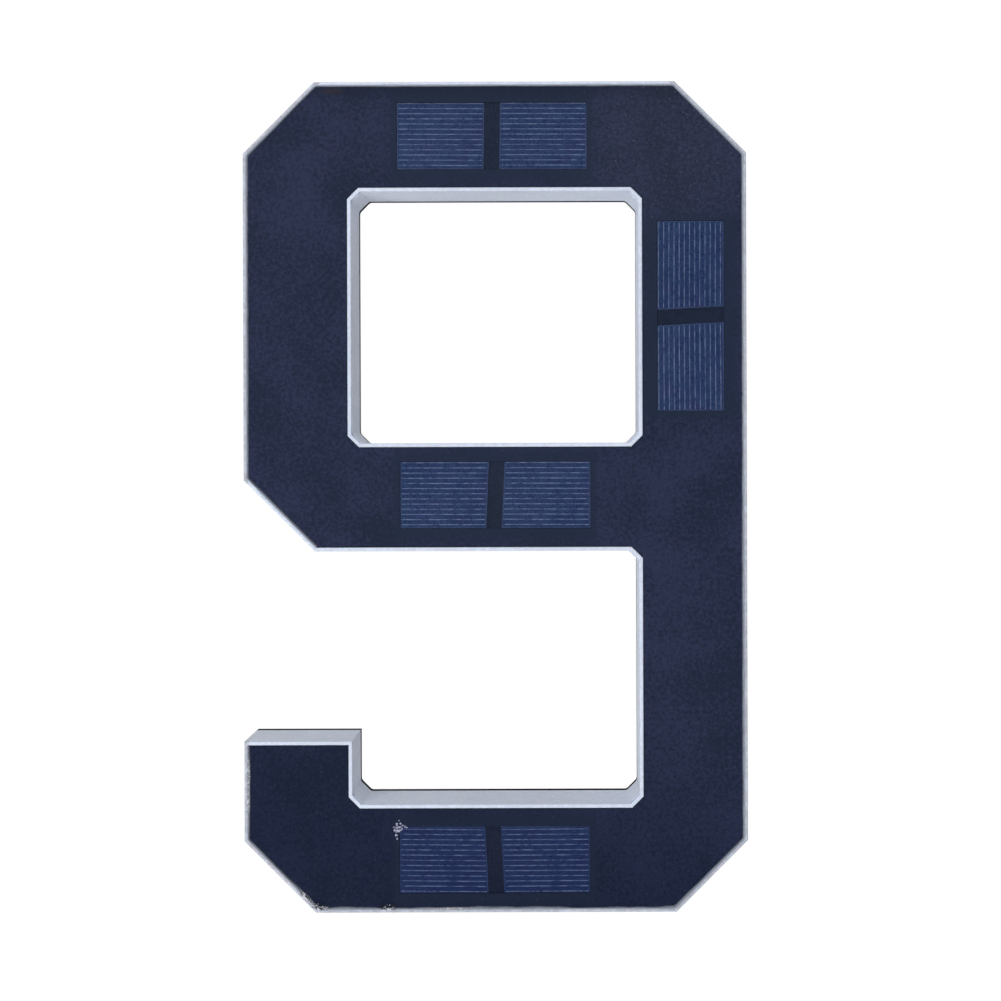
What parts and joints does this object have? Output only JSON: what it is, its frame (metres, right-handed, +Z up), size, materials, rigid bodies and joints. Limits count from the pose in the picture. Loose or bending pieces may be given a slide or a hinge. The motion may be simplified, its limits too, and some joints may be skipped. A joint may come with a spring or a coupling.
{
  "type": "illuminated house number sign",
  "caption": "Solar house number, an angular block figure with cut corners: opal side-lit housing, dark solar face, black back plate with keyholes, battery door and switch.",
  "frame": {"origin": "on the wall-contact plane, behind the middle of the middle bar", "axes": "+X to the right as the figure is read, +Y into the wall, +Z up; the face looks along -Y"},
  "size_m": [0.1516, 0.025, 0.25],
  "materials": {
    "opal_plastic": "satin opal",
    "textured_film": "fine texture, clear",
    "dark_encapsulant": "satin",
    "black_laminate": "matte",
    "foam_tape": "matte",
    "black_plastic": "fine texture",
    "seal_rubber": "matte",
    "battery_sleeve": "gloss sleeve, plain",
    "plated_spring_steel": "plated",
    "stainless_screw": "satin",
    "switch_plastic": "matte",
    "slider_plastic": "satin",
    "green_circuit_board": "gloss solder mask",
    "chip_plastic": "matte",
    "ferrite": "matte",
    "capacitor_can": "satin",
    "solar_cell": "blue, crystalline",
    "white_strip": "gloss solder mask",
    "phosphor_light": "satin",
    "white_lead": "satin",
    "red_lead": "satin",
    "black_lead": "satin"
  },
  "bodies": {
    "sign": {"opal_housing": "opal_plastic", "panel_film": "textured_film", "encapsulant_sheet": "dark_encapsulant", "panel_board": "black_laminate", "panel_tape": "foam_tape", "back_plate": "black_plastic", "outer_seal": "seal_rubber", "window_seal": "seal_rubber", "keyhole_caps": "black_plastic", "battery": "battery_sleeve", "contact_plus": "plated_spring_steel", "contact_minus": "plated_spring_steel", "switch_body": "switch_plastic", "controller_board": "green_circuit_board", "driver_chip": "chip_plastic", "power_inductor": "ferrite", "smoothing_capacitor": "capacitor_can", "chip_resistors": "chip_plastic", "case_screws": "stainless_screw", "board_screws": "stainless_screw", "switch_lead": "black_lead", "battery_lead_red": "red_lead", "battery_lead_black": "black_lead", "panel_lead_red": "red_lead", "panel_lead_black": "black_lead", "solar_cell_top_left": "solar_cell", "solar_cell_top_right": "solar_cell", "solar_cell_middle_left": "solar_cell", "solar_cell_middle_right": "solar_cell", "solar_cell_bottom_left": "solar_cell", "solar_cell_bottom_right": "solar_cell", "solar_cell_side_upper": "solar_cell", "solar_cell_side_lower": "solar_cell", "led_strip_top": "white_strip", "led_strip_left": "white_strip", "led_strip_right": "white_strip", "led_strip_middle": "white_strip", "led_strip_bottom": "white_strip", "led_strip_tail": "white_strip", "leds_top": "phosphor_light", "leds_left": "phosphor_light", "leds_right": "phosphor_light", "leds_middle": "phosphor_light", "leds_bottom": "phosphor_light", "leds_tail": "phosphor_light", "led_lead_top": "white_lead", "led_lead_left": "white_lead", "led_lead_right": "white_lead", "led_lead_middle": "white_lead", "led_lead_bottom": "white_lead", "led_lead_tail": "white_lead"},
    "door": {"battery_door": "black_plastic", "door_seal": "seal_rubber", "door_screws": "stainless_screw"},
    "slider": {"switch_slider": "slider_plastic"}
  },
  "joints": [
    {"name": "door_lift", "type": "slide", "parent": "sign", "child": "door", "axis": [0, 1, 0], "range_m": [0, 0.02]},
    {"name": "switch_slide", "type": "slide", "parent": "sign", "child": "slider", "axis": [1, 0, 0], "range_m": [0, 0.003]}
  ]
}
